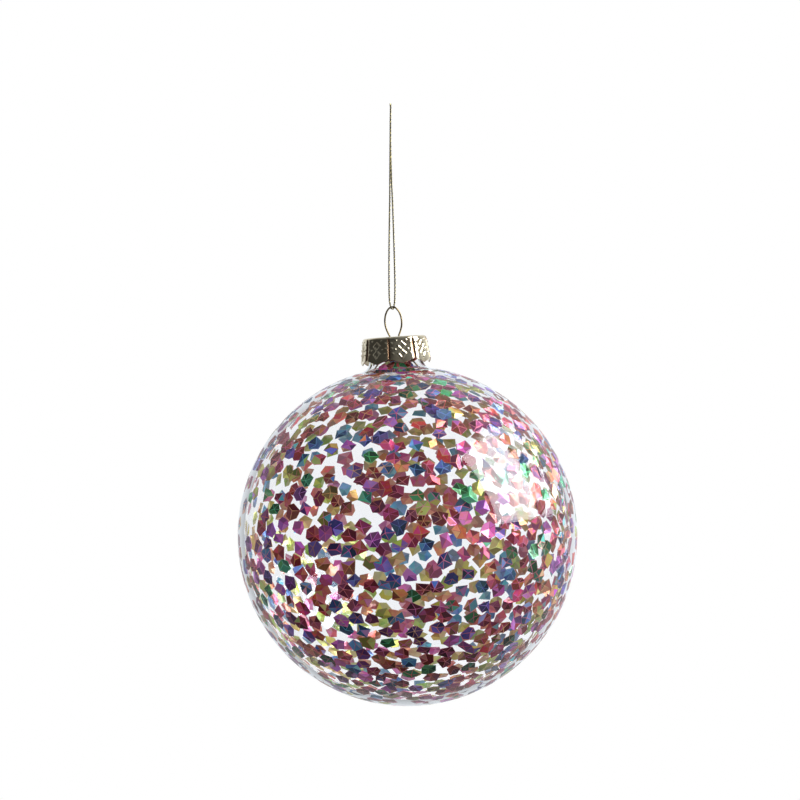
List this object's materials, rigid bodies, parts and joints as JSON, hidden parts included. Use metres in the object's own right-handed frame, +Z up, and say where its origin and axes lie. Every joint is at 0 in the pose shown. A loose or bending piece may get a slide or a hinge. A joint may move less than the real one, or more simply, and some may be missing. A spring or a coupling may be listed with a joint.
{
  "type": "glass ball ornament",
  "caption": "Clear blown-glass ball ornament lined with faceted iridescent flakes, with a stamped metal crown cap, a sprung wire hanger and a looped hanging thread.",
  "frame": {"origin": "the inside of the upper bend of the hanging thread, where a hook carries the ornament", "axes": "+Z up along the ornament's own axis, from the ball to its hanger; +X to the right as the hanger's loop is seen face on; the front is at -Y. The ornament's axis stands 3.4 mm to the left of the origin"},
  "size_m": [0.1, 0.1, 0.1775],
  "materials": {
    "clear_glass": "clear blown glass",
    "clear_glue": "clear dried adhesive",
    "stamped_gold": "bright gilt stamped sheet",
    "gilt_wire": "dull gilt spring wire",
    "metallic_thread": "two-ply metallic thread",
    "foil_burgundy": "pressed iridescent foil",
    "foil_plum": "pressed iridescent foil",
    "foil_forest": "pressed iridescent foil",
    "foil_navy": "pressed iridescent foil",
    "foil_olive": "pressed iridescent foil",
    "foil_copper": "pressed iridescent foil",
    "foil_indigo": "pressed iridescent foil",
    "foil_magenta": "pressed iridescent foil"
  },
  "bodies": {
    "thread": {"hanging_thread": "metallic_thread"},
    "hanger": {"wire_hanger": "gilt_wire"},
    "cap": {"ornament_cap": "stamped_gold"},
    "ball": {"glass_ball": "clear_glass", "adhesive_film": "clear_glue", "flake_01": "foil_magenta", "flake_02": "foil_magenta", "flake_03": "foil_forest", "flake_04": "foil_navy", "flake_05": "foil_navy", "flake_06": "foil_navy", "flake_07": "foil_copper", "flake_08": "foil_navy", "flake_09": "foil_olive", "flake_10": "foil_copper", "flake_11": "foil_magenta", "flake_12": "foil_navy", "flake_13": "foil_olive", "flake_14": "foil_plum", "flake_15": "foil_forest", "flake_16": "foil_burgundy", "flake_17": "foil_plum", "flake_18": "foil_plum", "flake_19": "foil_burgundy", "flake_20": "foil_magenta", "flake_21": "foil_magenta", "flake_22": "foil_magenta", "flake_23": "foil_copper", "flake_24": "foil_magenta", "flake_25": "foil_magenta", "flake_26": "foil_burgundy", "flake_27": "foil_copper", "flake_28": "foil_olive", "flake_29": "foil_indigo", "flake_30": "foil_copper", "flake_31": "foil_indigo", "flake_32": "foil_magenta", "flake_33": "foil_copper", "flake_34": "foil_plum", "flake_35": "foil_indigo", "flake_36": "foil_burgundy", "flake_37": "foil_indigo", "flake_38": "foil_navy", "flake_39": "foil_copper", "flake_40": "foil_indigo", "flake_41": "foil_forest", "flake_42": "foil_navy", "flake_43": "foil_forest", "flake_44": "foil_copper", "flake_45": "foil_navy", "flake_46": "foil_plum", "flake_47": "foil_forest", "flake_48": "foil_indigo"}
  },
  "joints": [
    {"name": "loop_swing", "type": "hinge", "parent": "thread", "child": "hanger", "pos_m": [-0.0034, 0, -0.06085], "axis": [0, 1, 0], "range_deg": [-35, 35]},
    {"name": "hanger_rock", "type": "hinge", "parent": "hanger", "child": "cap", "pos_m": [-0.0034, 0, -0.0684], "axis": [1, 0, 0], "range_deg": [-18, 18]},
    {"name": "cap_pull", "type": "slide", "parent": "cap", "child": "ball", "axis": [0, 0, -1], "range_m": [0, 0.02]}
  ]
}
